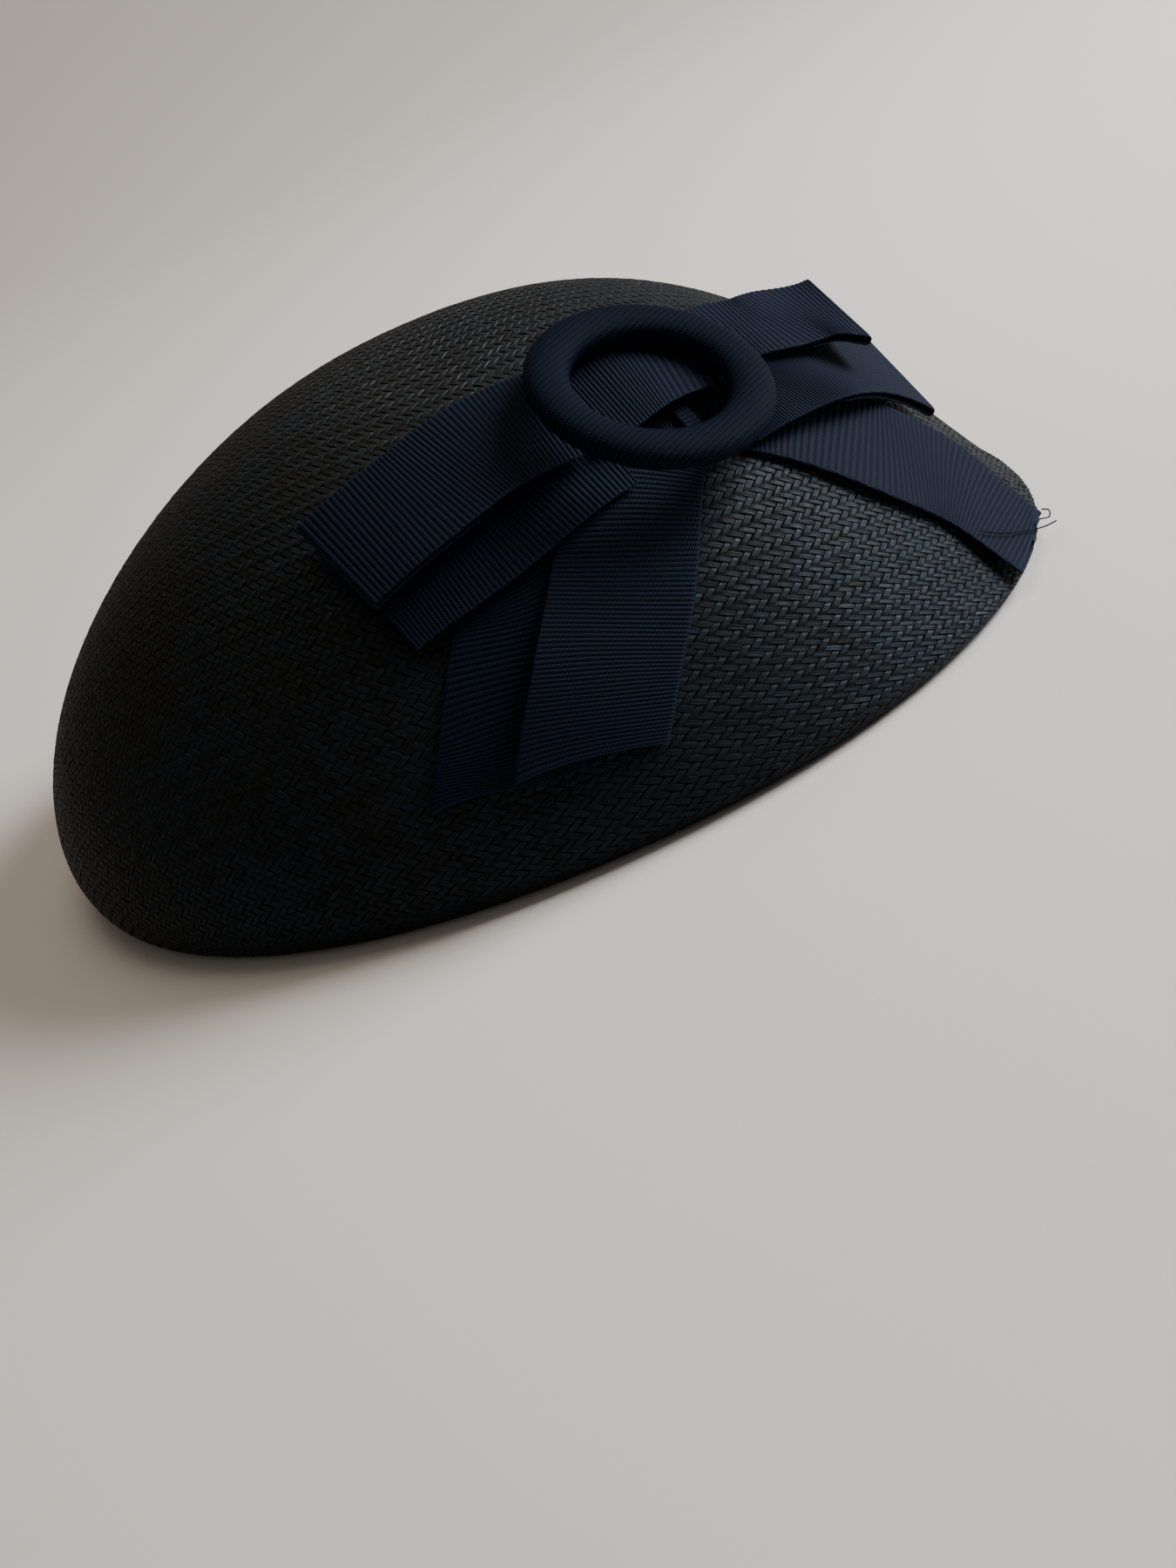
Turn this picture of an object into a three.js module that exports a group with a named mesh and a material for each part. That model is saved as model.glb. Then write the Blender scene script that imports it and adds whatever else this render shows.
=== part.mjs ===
// A shallow domed straw hat, trimmed with flat ribbon loops and tails under a covered ring.
// Millimetres: +X is the wearer's front, +Y the wearer's left and +Z up. The rim lies on z = 0,
// and the origin is its middle.
import * as THREE from "three";
import { ParametricGeometry } from "three/addons/geometries/ParametricGeometry.js";

// Crown: driving sizes.
const HALF_LENGTH = 132.5;
const HALF_WIDTH = 119.5;
const CROWN_HEIGHT = 96.5;
const PLAN_POWER = 2.13; // 2 would be a plain oval, and more is squarer
const WIDEST = { middle: 7.5, fall: 5.5 }; // height of the widest line, and its fall to the front
const SHOULDER = { middle: 2.28, gain: 0.4 }; // how far out the top stays level
const SLOPE = { middle: 1.29, gain: -0.45 }; // below 1 the wall slopes like a peak
const DENT = { x: 2, y: -20, depth: 1.4, radius: 18 }; // soft dent beside the apex
const RIM_INSET = 6; // the wall turns under by this much below its widest line
const RIM_FLAT = 3; // width of the flat edge that the hat rests on
const WALL = 2;
const OUTSIDE = { inset: 0, drop: 0, raise: 0 };
const INSIDE = { inset: 1.6 * WALL, drop: WALL, raise: 0.5 * WALL };

const CROWN_SEGMENTS = 72;
const DOME_ROWS = 14;
const UNDER_ROWS = 3;
const INNER_ROWS = 10;

// Trim: driving sizes.
const RIBBON_WIDTH = 32;
const CLOTH = 1; // thickness of a ribbon, with its hems and the air between its layers
const ACROSS = 5; // facets over a ribbon's width
const FOLD_STEPS = 3;
const RING = { x: 43.3, y: -61.5, lift: 10, middle: 23.2, band: 10.5, thick: 6.6 };
const RING_LEAN = { x: 0.03, y: 0.16 }; // its axis leans from the crown's normal to the layers

const STRAW = { color: 0x35322e, roughness: 0.62, metalness: 0 };
const RIBBON = { color: 0x1c2233, roughness: 0.7, metalness: 0 };
const FAILLE = { color: 0x1f2536, roughness: 0.66, metalness: 0 };

// A ribbon runs through stations on the crown: x and y on the plan, lift of its middle off the
// straw, roll about its own run in degrees, gap down to the layer that returns under it, and
// width. hug is 1 where its edges follow the straw and 0 where it stays flat across. back is
// the share of its run that the returning layer covers. cut is how much shorter one edge is.
const COLUMNS = ["x", "y", "lift", "roll", "gap", "width"];
const RIBBONS = [
  {
    name: "left_upper_loop", rows: 14, hug: 0, back: 0.43, cut: 0,
    stations: [
      [25.1, -60.8, 4.25, 3, 1.6, 0.95 * RIBBON_WIDTH],
      [7, -64.4, 5.5, 4, 1.5, RIBBON_WIDTH],
      [-11.2, -69.6, 6.5, 4.6, 1.6, RIBBON_WIDTH],
      [-32, -73.3, 6.3, 3, 1.7, RIBBON_WIDTH],
    ],
  },
  {
    name: "left_lower_loop", rows: 14, hug: 0.5, back: 0, cut: 0,
    stations: [
      [31, -67.7, 2.35, 1, 0, 0.93 * RIBBON_WIDTH],
      [-0.8, -78.2, 2.8, 2, 0, RIBBON_WIDTH],
      [-28.4, -82.2, 2.5, 1, 0, RIBBON_WIDTH],
    ],
  },
  {
    name: "front_tail", rows: 18, hug: 1, back: 0, cut: 15,
    stations: [
      [38.4, -69, 0.9, 0, 0, RIBBON_WIDTH],
      [24.4, -91.3, 1.7, -2, 0, RIBBON_WIDTH],
      [10.6, -105.7, 3.4, -8, 0, RIBBON_WIDTH],
      [-2.1, -115.9, 3, -7, 0, RIBBON_WIDTH],
    ],
  },
  {
    name: "rear_tail", rows: 14, hug: 1, back: 0, cut: 19,
    stations: [
      [3, -78.5, 0.8, 0, 0, 0.3 * RIBBON_WIDTH],
      [1, -94.7, 0.8, 0, 0, RIBBON_WIDTH],
      [-13.2, -109, 0.85, 0, 0, RIBBON_WIDTH],
      [-21, -114.9, 0.85, 0, 0, RIBBON_WIDTH],
    ],
  },
  {
    name: "right_upper_loop", rows: 16, hug: 0, back: 0.4, cut: 0,
    stations: [
      [60, -42.5, 4.2, 1, 1.5, 0.64 * RIBBON_WIDTH],
      [67.1, -38, 5.1, -2, 1.5, 0.74 * RIBBON_WIDTH],
      [75, -33.8, 7.1, -5, 1.5, 0.77 * RIBBON_WIDTH],
      [82.8, -27.7, 9.7, -8, 1.6, 0.86 * RIBBON_WIDTH],
      [89.3, -24.5, 13.2, -3, 2.2, 0.97 * RIBBON_WIDTH],
    ],
  },
  {
    name: "right_middle_loop", rows: 16, hug: 0, back: 0.42, cut: 0,
    stations: [
      [59, -62.7, 3, -3, 1.5, 0.62 * RIBBON_WIDTH],
      [71, -54, 4.5, -5, 1.4, 0.64 * RIBBON_WIDTH],
      [82.6, -41.4, 6, -5, 1.4, 0.9 * RIBBON_WIDTH],
      [104.8, -17.8, 5.2, 4, 2, RIBBON_WIDTH],
    ],
  },
  {
    name: "front_band", rows: 20, hug: 0, back: 0, cut: -2.8,
    stations: [
      [35.5, -60.5, 2, 0, 0, 0.8 * RIBBON_WIDTH],
      [46.5, -58.5, 1.5, 1, 0, 0.9 * RIBBON_WIDTH],
      [67.2, -55.8, 0.9, 1, 0, RIBBON_WIDTH],
      [89.7, -56.1, 1.6, 2, 0, RIBBON_WIDTH],
      [104.9, -53.7, 1.9, 4, 0, RIBBON_WIDTH],
      [115, -57.5, 2.4, 0, 0, RIBBON_WIDTH],
    ],
  },
  {
    name: "centre_ribbon", rows: 14, hug: 0, back: 0, cut: 0,
    stations: [
      [27.6, -60.3, 4.4, -3, 0, 0.9 * RIBBON_WIDTH],
      [33.8, -58.5, 4.5, -4.5, 0, 0.93 * RIBBON_WIDTH],
      [40.5, -56.5, 5.4, -5, 0, 0.85 * RIBBON_WIDTH],
      [47, -54.9, 5.6, -6, 0, 0.7 * RIBBON_WIDTH],
      [58, -52.8, 5.4, -6, 0, 0.4 * RIBBON_WIDTH],
    ],
  },
  {
    name: "narrow_strip", rows: 6, hug: 0, back: 0, cut: 0,
    stations: [
      [48.6, -59, 3.1, 0, 0, 4],
      [53.3, -73, 3.2, 0, 0, 4],
    ],
  },
];

// Height of the crown over a point of the plan. The unit reach of the oval plan gives how far
// out the point is, and the height falls from the apex to the widest line by two powers that
// change evenly from the back of the hat to its front. A soft dent is taken off.
function crownHeight(x, y, shell = OUTSIDE) {
  const forward = THREE.MathUtils.clamp(x / HALF_LENGTH, -1, 1);
  const reach = Math.min(
    1,
    (
      Math.abs(x / (HALF_LENGTH - shell.inset)) ** PLAN_POWER +
      Math.abs(y / (HALF_WIDTH - shell.inset)) ** PLAN_POWER
    ) ** (1 / PLAN_POWER),
  );
  const foot = widestHeight(x) + shell.raise;
  const out = SHOULDER.middle + SHOULDER.gain * forward;
  const down = SLOPE.middle + SLOPE.gain * forward;
  const dent = DENT.depth * Math.exp(-((x - DENT.x) ** 2 + (y - DENT.y) ** 2) / DENT.radius ** 2);
  return foot + (CROWN_HEIGHT - shell.drop - foot) * (1 - reach ** out) ** (1 / down) - dent;
}

function widestHeight(x) {
  return WIDEST.middle - WIDEST.fall * (x / HALF_LENGTH);
}

// A point of the oval plan, in the direction of an angle, at a share of the way to its edge.
function planPoint(angle, share, inset) {
  const c = Math.cos(angle);
  const s = Math.sin(angle);
  const radius = (Math.abs(c) ** PLAN_POWER + Math.abs(s) ** PLAN_POWER) ** (-1 / PLAN_POWER);
  return [(HALF_LENGTH - inset) * radius * share * c, (HALF_WIDTH - inset) * radius * share * s];
}

// The crown's section, from the apex outside, down to the rim, over its flat edge and back up
// inside: each row says how a point of it is found at an angle round the hat.
function crownRows() {
  const rows = [];
  const domeShare = (row, count) => Math.sin((0.5 * Math.PI * row) / count) ** 0.87;
  for (let row = 0; row <= DOME_ROWS; row += 1) {
    rows.push((angle) => domePoint(angle, domeShare(row, DOME_ROWS), OUTSIDE));
  }
  for (let row = 1; row <= UNDER_ROWS; row += 1) {
    const turn = (0.5 * Math.PI * row) / UNDER_ROWS;
    rows.push((angle) => underPoint(angle, RIM_INSET * (1 - Math.cos(turn)), 1 - Math.sin(turn)));
  }
  rows.push((angle) => underPoint(angle, RIM_INSET + RIM_FLAT, 0));
  for (let row = INNER_ROWS; row >= 0; row -= 1) {
    rows.push((angle) => domePoint(angle, domeShare(row, INNER_ROWS), INSIDE));
  }
  return rows;
}

function domePoint(angle, share, shell) {
  const [x, y] = planPoint(angle, share, shell.inset);
  return [x, y, crownHeight(x, y, shell)];
}

function underPoint(angle, inset, share) {
  const [x, y] = planPoint(angle, 1, inset);
  return [x, y, share * widestHeight(x)];
}

function crownGeometry() {
  const rows = crownRows();
  const last = rows.length - 1;
  const place = (u, v, target) => {
    const angle = 2 * Math.PI * (Math.round(v * CROWN_SEGMENTS) % CROWN_SEGMENTS) / CROWN_SEGMENTS;
    target.set(...rows[Math.round(u * last)](angle));
  };
  return new ParametricGeometry(place, last, CROWN_SEGMENTS);
}

function crownPoint(x, y) {
  return new THREE.Vector3(x, y, crownHeight(x, y));
}

function crownNormal(x, y) {
  const step = 0.5;
  const slopeX = (crownHeight(x + step, y) - crownHeight(x - step, y)) / (2 * step);
  const slopeY = (crownHeight(x, y + step) - crownHeight(x, y - step)) / (2 * step);
  return new THREE.Vector3(-slopeX, -slopeY, 1).normalize();
}

// The crown's point and normal nearest to a point in space, by sliding along tangent planes.
function nearestOnCrown(point, guess) {
  let { x, y } = guess;
  for (let pass = 0; pass < 6; pass += 1) {
    const normal = crownNormal(x, y);
    const away = point.clone().sub(crownPoint(x, y));
    away.addScaledVector(normal, -away.dot(normal));
    x += away.x;
    y += away.y;
  }
  return { point: crownPoint(x, y), normal: crownNormal(x, y) };
}

// Values of a ribbon's table at a share of its run, along a Catmull-Rom curve through its rows.
function stationAt(stations, share) {
  const last = stations.length - 1;
  const index = THREE.MathUtils.clamp(Math.floor(share * last), 0, last - 1);
  const part = share * last - index;
  const row = (k, column) => {
    if (k < 0) return 2 * stations[0][column] - stations[1][column];
    if (k > last) return 2 * stations[last][column] - stations[last - 1][column];
    return stations[k][column];
  };
  const values = COLUMNS.map((name, column) => {
    const [a, b, c, d] = [-1, 0, 1, 2].map((k) => row(index + k, column));
    const bend = (2 * a - 5 * b + 4 * c - d) * part + (3 * b - a - 3 * c + d) * part * part;
    return [name, b + 0.5 * part * (c - a + bend)];
  });
  return Object.fromEntries(values);
}

function ribbonCentre(stations, share) {
  const { x, y, lift } = stationAt(stations, share);
  return crownPoint(x, y).addScaledVector(crownNormal(x, y), lift);
}

// A point of a ribbon's middle surface: share runs along it, side from -1 to 1 across it.
function ribbonPoint(ribbon, share, side) {
  const { stations, hug, cut } = ribbon;
  const trimmed = share * (1 - (cut * 0.5 * (1 + side)) / runLength(stations));
  const at = stationAt(stations, trimmed);
  const centre = ribbonCentre(stations, trimmed);
  const step = 0.01;
  const along = ribbonCentre(stations, trimmed + step).sub(ribbonCentre(stations, trimmed - step));
  along.normalize();
  const across = crownNormal(at.x, at.y).cross(along).normalize();
  across.applyAxisAngle(along, THREE.MathUtils.degToRad(at.roll));
  const normal = along.clone().cross(across);
  const reach = 0.5 * at.width * side;
  const point = centre.addScaledVector(across, reach);
  const seat = nearestOnCrown(point, at);
  const lift = at.lift + reach * Math.sin(THREE.MathUtils.degToRad(at.roll));
  point.lerp(seat.point.addScaledVector(seat.normal, lift), hug);
  normal.lerp(seat.normal, hug).normalize();
  return { point, normal, along, gap: at.gap };
}

function runLength(stations) {
  const bow = 1.06; // the crown's curve over the straight distance
  return bow * ribbonCentre(stations, 0).distanceTo(ribbonCentre(stations, 1));
}

// Rows of a ribbon from its start to its fold, round the fold and back under itself. Each row
// has its share of the run and its turn from the upper layer to the lower one.
function ribbonRows({ rows, back }) {
  const path = [];
  for (let row = 0; row <= rows; row += 1) path.push({ share: row / rows, turn: 0 });
  if (back > 0) {
    for (let step = 1; step <= FOLD_STEPS; step += 1) {
      path.push({ share: 1, turn: (Math.PI * step) / (FOLD_STEPS + 1) });
    }
    const returning = Math.round(rows * back);
    for (let row = 0; row <= returning; row += 1) {
      path.push({ share: 1 - row / rows, turn: Math.PI });
    }
  }
  return path;
}

// A closed ribbon of even thickness. Its two ends are capped by rows drawn in to the middle.
function ribbonGeometry(ribbon) {
  const path = ribbonRows(ribbon);
  const last = path.length + 1;
  const around = 2 * (ACROSS + 1);
  const place = (u, v, target) => {
    const row = Math.round(u * last);
    const { share, turn } = path[THREE.MathUtils.clamp(row - 1, 0, path.length - 1)];
    const step = Math.round(v * around) % around;
    const upper = step <= ACROSS;
    const side = upper ? -1 + (2 * step) / ACROSS : 1 - (2 * (step - ACROSS - 1)) / ACROSS;
    const { point, normal, along, gap } = ribbonPoint(ribbon, share, side);
    point.addScaledVector(along, 0.5 * gap * Math.sin(turn));
    point.addScaledVector(normal, -0.5 * gap * (1 - Math.cos(turn)));
    const outward = normal.multiplyScalar(Math.cos(turn)).addScaledVector(along, Math.sin(turn));
    const capped = row === 0 || row === last;
    const offset = capped ? 0 : 0.5 * CLOTH * (upper ? 1 : -1);
    target.copy(point.addScaledVector(outward, offset));
  };
  return new ParametricGeometry(place, last, around);
}

// The ring is a flattened ring of soft rounded section. It lies on the layers drawn through it,
// which tip it a little from the crown's own slope.
function ringMesh() {
  const facets = 14;
  const profile = [];
  for (let step = 0; step <= facets; step += 1) {
    const turn = (2 * Math.PI * (step % facets)) / facets;
    const soften = (value) => Math.sign(value) * Math.abs(value) ** 0.85;
    const radius = RING.middle + 0.5 * RING.band * soften(Math.cos(turn));
    profile.push(new THREE.Vector2(radius, 0.5 * RING.thick * soften(Math.sin(turn))));
  }
  const mesh = named("ring_buckle", new THREE.LatheGeometry(profile, 48), FAILLE);
  const normal = crownNormal(RING.x, RING.y);
  const axis = normal.clone().add(new THREE.Vector3(RING_LEAN.x, RING_LEAN.y, 0)).normalize();
  mesh.quaternion.setFromUnitVectors(new THREE.Vector3(0, 1, 0), axis);
  mesh.position.copy(crownPoint(RING.x, RING.y).addScaledVector(normal, RING.lift));
  return mesh;
}

function named(name, geometry, finish) {
  const mesh = new THREE.Mesh(geometry, new THREE.MeshStandardMaterial(finish));
  mesh.name = name;
  return mesh;
}

const hat = new THREE.Group();
hat.add(named("crown", crownGeometry(), STRAW));
for (const ribbon of RIBBONS) {
  hat.add(named(ribbon.name, ribbonGeometry(ribbon), RIBBON));
}
hat.add(ringMesh());

export default hat;
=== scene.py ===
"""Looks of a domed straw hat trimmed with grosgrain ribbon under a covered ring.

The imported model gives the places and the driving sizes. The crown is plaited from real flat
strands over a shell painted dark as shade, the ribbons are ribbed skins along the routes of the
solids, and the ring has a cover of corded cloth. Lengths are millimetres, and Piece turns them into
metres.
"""

import logging
import math
from dataclasses import dataclass, field
from enum import Enum
from typing import Any

import bpy
import numpy as np
from mathutils import Matrix, Vector


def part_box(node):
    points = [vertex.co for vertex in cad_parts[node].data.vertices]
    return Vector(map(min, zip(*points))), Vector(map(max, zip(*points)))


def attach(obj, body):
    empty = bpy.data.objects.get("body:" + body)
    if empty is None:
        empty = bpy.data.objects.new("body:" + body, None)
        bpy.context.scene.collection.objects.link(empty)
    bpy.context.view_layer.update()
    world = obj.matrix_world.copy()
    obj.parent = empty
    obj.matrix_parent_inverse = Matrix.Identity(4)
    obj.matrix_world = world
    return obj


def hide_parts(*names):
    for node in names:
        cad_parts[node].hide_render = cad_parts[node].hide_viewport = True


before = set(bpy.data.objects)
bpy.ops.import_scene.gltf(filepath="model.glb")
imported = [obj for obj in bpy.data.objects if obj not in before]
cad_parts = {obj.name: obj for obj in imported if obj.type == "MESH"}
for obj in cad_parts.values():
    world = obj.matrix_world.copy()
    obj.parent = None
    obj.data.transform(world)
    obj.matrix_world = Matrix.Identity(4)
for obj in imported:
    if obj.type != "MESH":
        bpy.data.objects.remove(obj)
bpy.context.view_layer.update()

LOG = logging.getLogger("hat")
METRE = 0.001  # one millimetre in Blender's metres

Array = np.ndarray
Colour = tuple[float, float, float, float]


# ---------------------------------------------------------------- meshes


class Slot(Enum):
    """Material slots of the record."""

    STRAW = "straw"
    RIBBON = "ribbon"
    RING = "ring_cloth"


def grid_quads(rows: int, columns: int, closed: bool = False) -> Array:
    """Quads of a grid of points, row after row.

    Args:
        rows: Number of rows of points.
        columns: Number of points in a row.
        closed: Whether the last column joins the first.

    Returns:
        Point numbers of each quad, four a row.
    """
    row = np.arange(rows - 1)[:, None]
    column = np.arange(columns if closed else columns - 1)[None, :]
    beside = (column + 1) % columns
    corners = [
        row * columns + column,
        row * columns + beside,
        (row + 1) * columns + beside,
        (row + 1) * columns + column,
    ]
    return np.stack(np.broadcast_arrays(*corners), axis=-1).reshape(-1, 4)


@dataclass
class Piece:
    """One mesh of the hat: points in millimetres, quads, maps by corner and values by point."""

    name: str
    points: Array
    quads: Array
    slot: Slot
    maps: dict[str, Array] = field(default_factory=dict)
    values: dict[str, Array] = field(default_factory=dict)
    smooth: bool = True

    def build(self, material: bpy.types.Material, replaced: tuple[str, ...] = ()) -> bpy.types.Object:
        """Makes the object, gives it its finish and hangs it on the hat's one body.

        Args:
            material: The finish.
            replaced: CAD nodes that this piece stands for.

        Returns:
            The object, at the origin.
        """
        mesh = bpy.data.meshes.new(self.name)
        mesh.vertices.add(len(self.points))
        mesh.vertices.foreach_set("co", (self.points * METRE).astype(np.float32).ravel())
        mesh.loops.add(self.quads.size)
        mesh.loops.foreach_set("vertex_index", self.quads.astype(np.int32).ravel())
        mesh.polygons.add(len(self.quads))
        mesh.polygons.foreach_set("loop_start", np.arange(len(self.quads), dtype=np.int32) * 4)
        mesh.update(calc_edges=True)
        mesh.polygons.foreach_set("use_smooth", np.full(len(self.quads), self.smooth))
        for name, flat in self.maps.items():
            layer = mesh.uv_layers.new(name=name)
            layer.uv.foreach_set("vector", flat[self.quads.ravel()].astype(np.float32).ravel())
        for name, value in self.values.items():
            layer = mesh.attributes.new(name, "FLOAT", "POINT")
            layer.data.foreach_set("value", value.astype(np.float32).ravel())
        mesh.materials.append(material)
        mesh.validate()
        obj = bpy.data.objects.new(self.name, mesh)
        bpy.context.scene.collection.objects.link(obj)
        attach(obj, "root")
        if replaced:
            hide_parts(*replaced)
        LOG.info("%s: %d quads", self.name, len(self.quads))
        return obj


def unit(vectors: Array) -> Array:
    """Vectors scaled to length 1 along their last axis."""
    return vectors / np.maximum(np.linalg.norm(vectors, axis=-1, keepdims=True), 1e-12)


def through(table: Array, share: Array) -> Array:
    """Catmull-Rom curve through the rows of a table.

    Args:
        table: One row of values for each even share of the run.
        share: How far along the run, from 0 to 1.

    Returns:
        Between rows b and c, with a before and d after them and part p of the way:
        b + p/2 (c - a + p (2a - 5b + 4c - d) + p^2 (3b - a - 3c + d)).
    """
    first = 2 * table[:1] - table[1:2]
    final = 2 * table[-1:] - table[-2:-1]
    rows = np.concatenate([first, table, final])
    last = len(table) - 1
    index = np.clip(np.floor(share * last).astype(int), 0, last - 1)
    part = (share * last - index)[..., None]
    a, b, c, d = (rows[index + k] for k in range(4))
    bend = (2 * a - 5 * b + 4 * c - d) * part + (3 * b - a - 3 * c + d) * part**2
    return b + 0.5 * part * (c - a + bend)


def turned(vectors: Array, axes: Array, degrees: Array) -> Array:
    """Vectors turned about unit axes that they stand square to.

    Args:
        vectors: Vectors to turn.
        axes: Unit axes, one for each vector.
        degrees: Angles, one for each vector.

    Returns:
        cos(angle) times the vector plus sin(angle) times axis cross vector.
    """
    angle = np.radians(degrees)[..., None]
    return np.cos(angle) * vectors + np.sin(angle) * np.cross(axes, vectors)


# ---------------------------------------------------------------- finishes


class Wire:
    """A node socket with arithmetic: each operator adds one Math node."""

    def __init__(self, graph: "Graph", socket: bpy.types.NodeSocket) -> None:
        """Keeps the graph and the socket."""
        self.graph = graph
        self.socket = socket

    def __add__(self, other: "Wire | float") -> "Wire":
        """Sum."""
        return self.graph.math("ADD", self, other)

    def __radd__(self, other: float) -> "Wire":
        """Sum, reflected."""
        return self.graph.math("ADD", other, self)

    def __sub__(self, other: "Wire | float") -> "Wire":
        """Difference."""
        return self.graph.math("SUBTRACT", self, other)

    def __rsub__(self, other: float) -> "Wire":
        """Difference, reflected."""
        return self.graph.math("SUBTRACT", other, self)

    def __mul__(self, other: "Wire | float") -> "Wire":
        """Product."""
        return self.graph.math("MULTIPLY", self, other)

    def __rmul__(self, other: float) -> "Wire":
        """Product, reflected."""
        return self.graph.math("MULTIPLY", other, self)

    def __pow__(self, other: float) -> "Wire":
        """Power."""
        return self.graph.math("POWER", self, other)

    def __abs__(self) -> "Wire":
        """Size without sign."""
        return self.graph.math("ABSOLUTE", self)

    def sine(self) -> "Wire":
        """Sine of the value in radians."""
        return self.graph.math("SINE", self)


class Graph:
    """Builds the node tree of one material."""

    def __init__(self, name: str) -> None:
        """Makes a material with one Principled shader and its output."""
        self.material = bpy.data.materials.new(name)
        self.material.use_nodes = True
        self.tree = self.material.node_tree
        self.tree.nodes.clear()
        self.shader = self.tree.nodes.new("ShaderNodeBsdfPrincipled")
        output = self.tree.nodes.new("ShaderNodeOutputMaterial")
        self.tree.links.new(self.shader.outputs["BSDF"], output.inputs["Surface"])

    def node(self, kind: str, settings: dict[str, Any], inputs: dict[Any, Any], out: Any = 0) -> Wire:
        """Adds a node.

        Args:
            kind: The node's type.
            settings: Properties that are set first.
            inputs: Values or wires of its sockets, by name or number.
            out: Name or number of the output that is returned.

        Returns:
            The output as a wire.
        """
        made = self.tree.nodes.new(kind)
        for key, value in settings.items():
            setattr(made, key, value)
        for key, value in inputs.items():
            if isinstance(value, Wire):
                self.tree.links.new(value.socket, made.inputs[key])
            else:
                made.inputs[key].default_value = value
        return Wire(self, made.outputs[out])

    def math(self, operation: str, *values: Wire | float) -> Wire:
        """One Math node on values or wires."""
        return self.node("ShaderNodeMath", {"operation": operation}, dict(enumerate(values)))

    def set(self, **constants: Any) -> None:
        """Sets the shader's own sockets, with _ for a space in their names."""
        for key, value in constants.items():
            self.shader.inputs[key.replace("_", " ")].default_value = value

    def feed(self, name: str, wire: Wire) -> None:
        """Links a wire to one of the shader's sockets."""
        self.tree.links.new(wire.socket, self.shader.inputs[name])

    def map(self, name: str) -> tuple[Wire, Wire]:
        """The two coordinates of a named UV map."""
        flat = self.node("ShaderNodeUVMap", {"uv_map": name}, {})
        return tuple(
            self.node("ShaderNodeSeparateXYZ", {}, {0: flat}, axis) for axis in ("X", "Y")
        )

    def value(self, name: str) -> Wire:
        """A value stored on the points."""
        return self.node("ShaderNodeAttribute", {"attribute_name": name}, {}, "Fac")

    def place(self) -> Wire:
        """Place on the object, in metres."""
        return self.node("ShaderNodeTexCoord", {}, {}, "Object")

    def noise(self, vector: Wire, scale: float, detail: float = 2.0) -> Wire:
        """Soft noise from 0 to 1."""
        inputs = {"Vector": vector, "Scale": scale, "Detail": detail}
        return self.node("ShaderNodeTexNoise", {}, inputs, "Fac")

    def together(self, x: Wire | float, y: Wire | float, z: Wire | float = 0.0) -> Wire:
        """A vector from three numbers."""
        return self.node("ShaderNodeCombineXYZ", {}, {0: x, 1: y, 2: z})

    def mix(self, share: Wire, first: "Wire | Colour", second: "Wire | Colour") -> Wire:
        """A colour between two others."""
        return self.node("ShaderNodeMix", {"data_type": "RGBA"}, {0: share, 6: first, 7: second}, 2)

    def bump(self, height: Wire, distance: float, strength: float = 1.0) -> Wire:
        """A normal from a height, whose full step is a distance in millimetres."""
        inputs = {"Height": height, "Distance": distance * METRE, "Strength": strength}
        return self.node("ShaderNodeBump", {}, inputs, "Normal")


def grey(level: float, warmth: float = 0.0) -> Colour:
    """A dark neutral, warmer where warmth is above 0 and cooler below."""
    return (level * (1 + warmth), level, level * (1 - warmth), 1.0)


@dataclass(frozen=True)
class StrawFinish:
    """Split straw dyed black: flat strands with pale fibres along them, painted shade darkening their
    edges and a painted cool light tint low on the crown.
    """

    dark: Colour = grey(0.0008)
    warm: Colour = grey(0.0092, 0.14)
    cool: Colour = grey(0.0102, -0.32)
    roughness: float = 0.46
    fibres: float = 2.3  # fibre lines over half a strand's width

    def material(self) -> bpy.types.Material:
        """Colour by the strand's own tint and its fibres, with painted shade at its edges, a painted cool
        light tint that grows lower on the crown, and a bump along the fibres.
        """
        graph = Graph("straw")
        across, along = graph.map("Weave")
        tint = graph.value("tint")
        lines = graph.together(across * self.fibres, along * 0.25, tint * 40.0)
        fibre = graph.noise(lines, 1.0, 1.0) * 2.6 - 0.8
        tone_and_painted_tint = graph.noise(graph.place(), 30.0) * 2.0 - 1.0 + (tint - 0.5) * 1.2
        # Painted light: lower on the crown the pale colour turns cooler, standing in for the cool window
        # light on the lower rim.
        tone_and_painted_tint = tone_and_painted_tint + graph.value("low") * 0.9
        # Painted shade: each strand's colour darkens towards its edges, where the seams between strands
        # lie in shade.
        edge = 1.0 - 0.9 * abs(across) ** 8.0
        level = (0.15 + 0.7 * tint + 0.6 * fibre) * edge
        pale = graph.mix(tone_and_painted_tint, self.warm, self.cool)
        graph.feed("Base Color", graph.mix(level, self.dark, pale))
        graph.feed("Roughness", self.roughness + 0.25 - 0.25 * fibre)
        graph.feed("Normal", graph.bump(fibre, 0.06, 0.8))
        # Painted reflection colour: the shine is tinted blue to stand in for cool window light.
        graph.set(Specular_IOR_Level=0.12, Specular_Tint=(0.78, 0.88, 1.0, 1.0))
        return graph.material


@dataclass(frozen=True)
class ShellFinish:
    """The plait's lower strands seen between the upper ones, coloured far darker than the strands as
    painted shade in the gaps.
    """

    dark: Colour = grey(0.0006)
    pale: Colour = grey(0.0018, 0.1)

    def material(self) -> bpy.types.Material:
        """A dull dark with a fine unevenness."""
        # Painted shade: the shell is coloured far darker than the strands, so the gaps between them read
        # as shade.
        graph = Graph("straw_painted_shade")
        grain = graph.noise(graph.place(), 900.0)
        graph.feed("Base Color", graph.mix(grain, self.dark, self.pale))
        graph.set(Roughness=0.8, Specular_IOR_Level=0.05)
        return graph.material


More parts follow.
